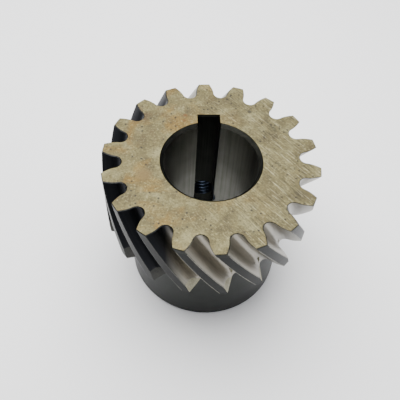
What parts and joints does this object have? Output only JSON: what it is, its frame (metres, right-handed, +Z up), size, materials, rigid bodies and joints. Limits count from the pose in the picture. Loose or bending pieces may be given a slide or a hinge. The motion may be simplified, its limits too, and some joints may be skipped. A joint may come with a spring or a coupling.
{
  "type": "helical gear",
  "caption": "One-piece helical gear with left-hand involute teeth on a rim above a plain round hub, with a keyed bore and a set-screw hole.",
  "frame": {"origin": "on the axis of the bore, in the end face of the hub, which the gear stands on", "axes": "+Z up the axis of the bore to the toothed end; +Y from the axis to the keyway and the set-screw hole"},
  "size_m": [0.0724, 0.0724, 0.0571],
  "materials": {
    "steel": "ground on the toothed end, dark machined steel on the teeth, the hub and in the bore"
  },
  "bodies": {
    "root": {"helical_gear": "steel"}
  },
  "joints": []
}
